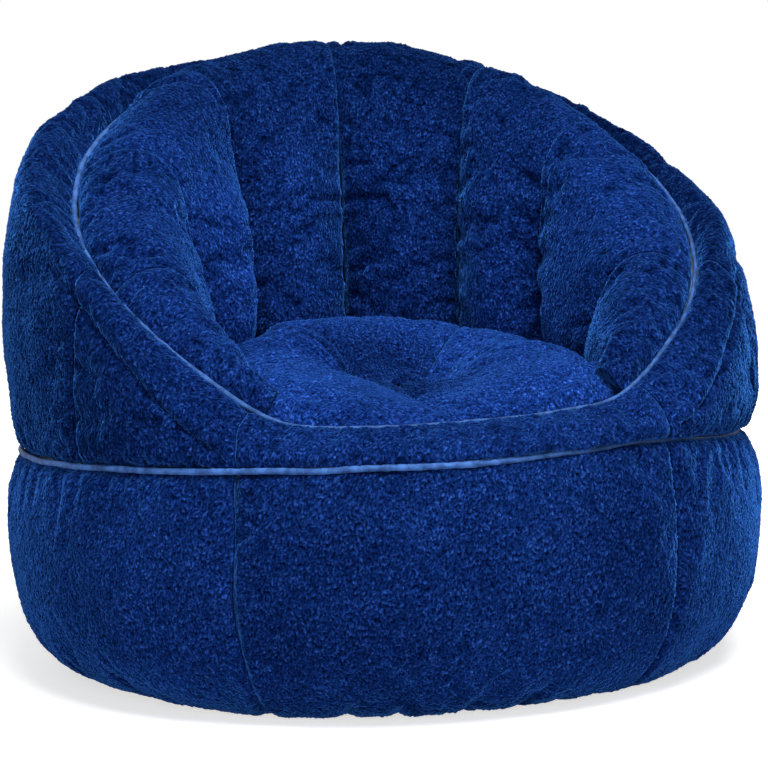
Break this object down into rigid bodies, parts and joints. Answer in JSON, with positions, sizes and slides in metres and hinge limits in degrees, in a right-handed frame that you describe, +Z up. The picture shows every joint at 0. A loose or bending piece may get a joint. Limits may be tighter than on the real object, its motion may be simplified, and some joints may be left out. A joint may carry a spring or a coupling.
{
  "type": "bean bag chair",
  "caption": "Round bean bag tub chair in plush fabric: drum base, horseshoe back of padded channels, pie-cut seat and satin piping.",
  "frame": {"origin": "on the floor, on the axis of the drum-shaped base, at the centre of the chair's outline", "axes": "+Z up, the open front of the seat faces -Y, +X is to the right of someone looking at the front"},
  "size_m": [0.8342, 0.8206, 0.6897],
  "materials": {
    "plush": "short dense curly plush pile in royal blue",
    "plush_bottom": "the same plush, worn flatter, under the base",
    "satin": "satin cloth over cord, soft shine",
    "lining": "plain woven lining",
    "bead_fill": "loose expanded foam beads, drawn as one body",
    "zip_tape": "woven zip tape in navy",
    "zip_coil": "moulded zip teeth in navy",
    "zip_metal": "nickel-plated slider and stops"
  },
  "bodies": {
    "chair": {"base_panel_front": "plush", "base_panel_right": "plush", "base_panel_back_right": "plush", "base_panel_back_left": "plush", "base_panel_left": "plush", "bottom_panel_front": "plush_bottom", "bottom_panel_back": "plush_bottom", "base_piping": "satin", "rim_piping": "satin", "front_apron": "plush", "arm_front_panel_left": "plush", "arm_front_panel_right": "plush", "arm_side_panel_left": "plush", "arm_side_panel_right": "plush", "back_panel_left": "plush", "back_panel_right": "plush", "tub_channel_1": "plush", "tub_channel_2": "plush", "tub_channel_3": "plush", "tub_channel_4": "plush", "tub_channel_5": "plush", "tub_channel_6": "plush", "tub_channel_7": "plush", "tub_channel_8": "plush", "wall_fill": "bead_fill", "seat_wedge_front_right": "plush", "seat_wedge_right": "plush", "seat_wedge_back": "plush", "seat_wedge_left": "plush", "seat_wedge_front_left": "plush", "seat_fill": "bead_fill", "seat_tuft_tie": "lining", "deck_panel": "lining", "base_liner": "lining", "base_beads": "bead_fill", "cover_zip_tape_front": "zip_tape", "cover_zip_tape_back": "zip_tape", "cover_zip_teeth_front": "zip_coil", "cover_zip_teeth_back": "zip_coil", "cover_zip_top_stop_front": "zip_metal", "cover_zip_top_stop_back": "zip_metal", "cover_zip_bottom_stop": "zip_metal", "liner_zip_tape_front": "lining", "liner_zip_tape_back": "lining", "liner_zip_teeth_front": "zip_coil", "liner_zip_teeth_back": "zip_coil", "liner_zip_top_stop_front": "zip_metal", "liner_zip_top_stop_back": "zip_metal", "liner_zip_bottom_stop": "zip_metal"},
    "cover_zip_slider": {"cover_zip_slider": "zip_metal"},
    "liner_zip_slider": {"liner_zip_slider": "zip_metal"}
  },
  "joints": [
    {"name": "cover_zip_slide", "type": "slide", "parent": "chair", "child": "cover_zip_slider", "axis": [-1, 0, 0], "range_m": [0, 0.458], "deforming": ["cover_zip_teeth_front", "cover_zip_teeth_back"]},
    {"name": "liner_zip_slide", "type": "slide", "parent": "chair", "child": "liner_zip_slider", "axis": [-1, 0, 0], "range_m": [0, 0.328], "deforming": ["liner_zip_teeth_front", "liner_zip_teeth_back"]}
  ]
}
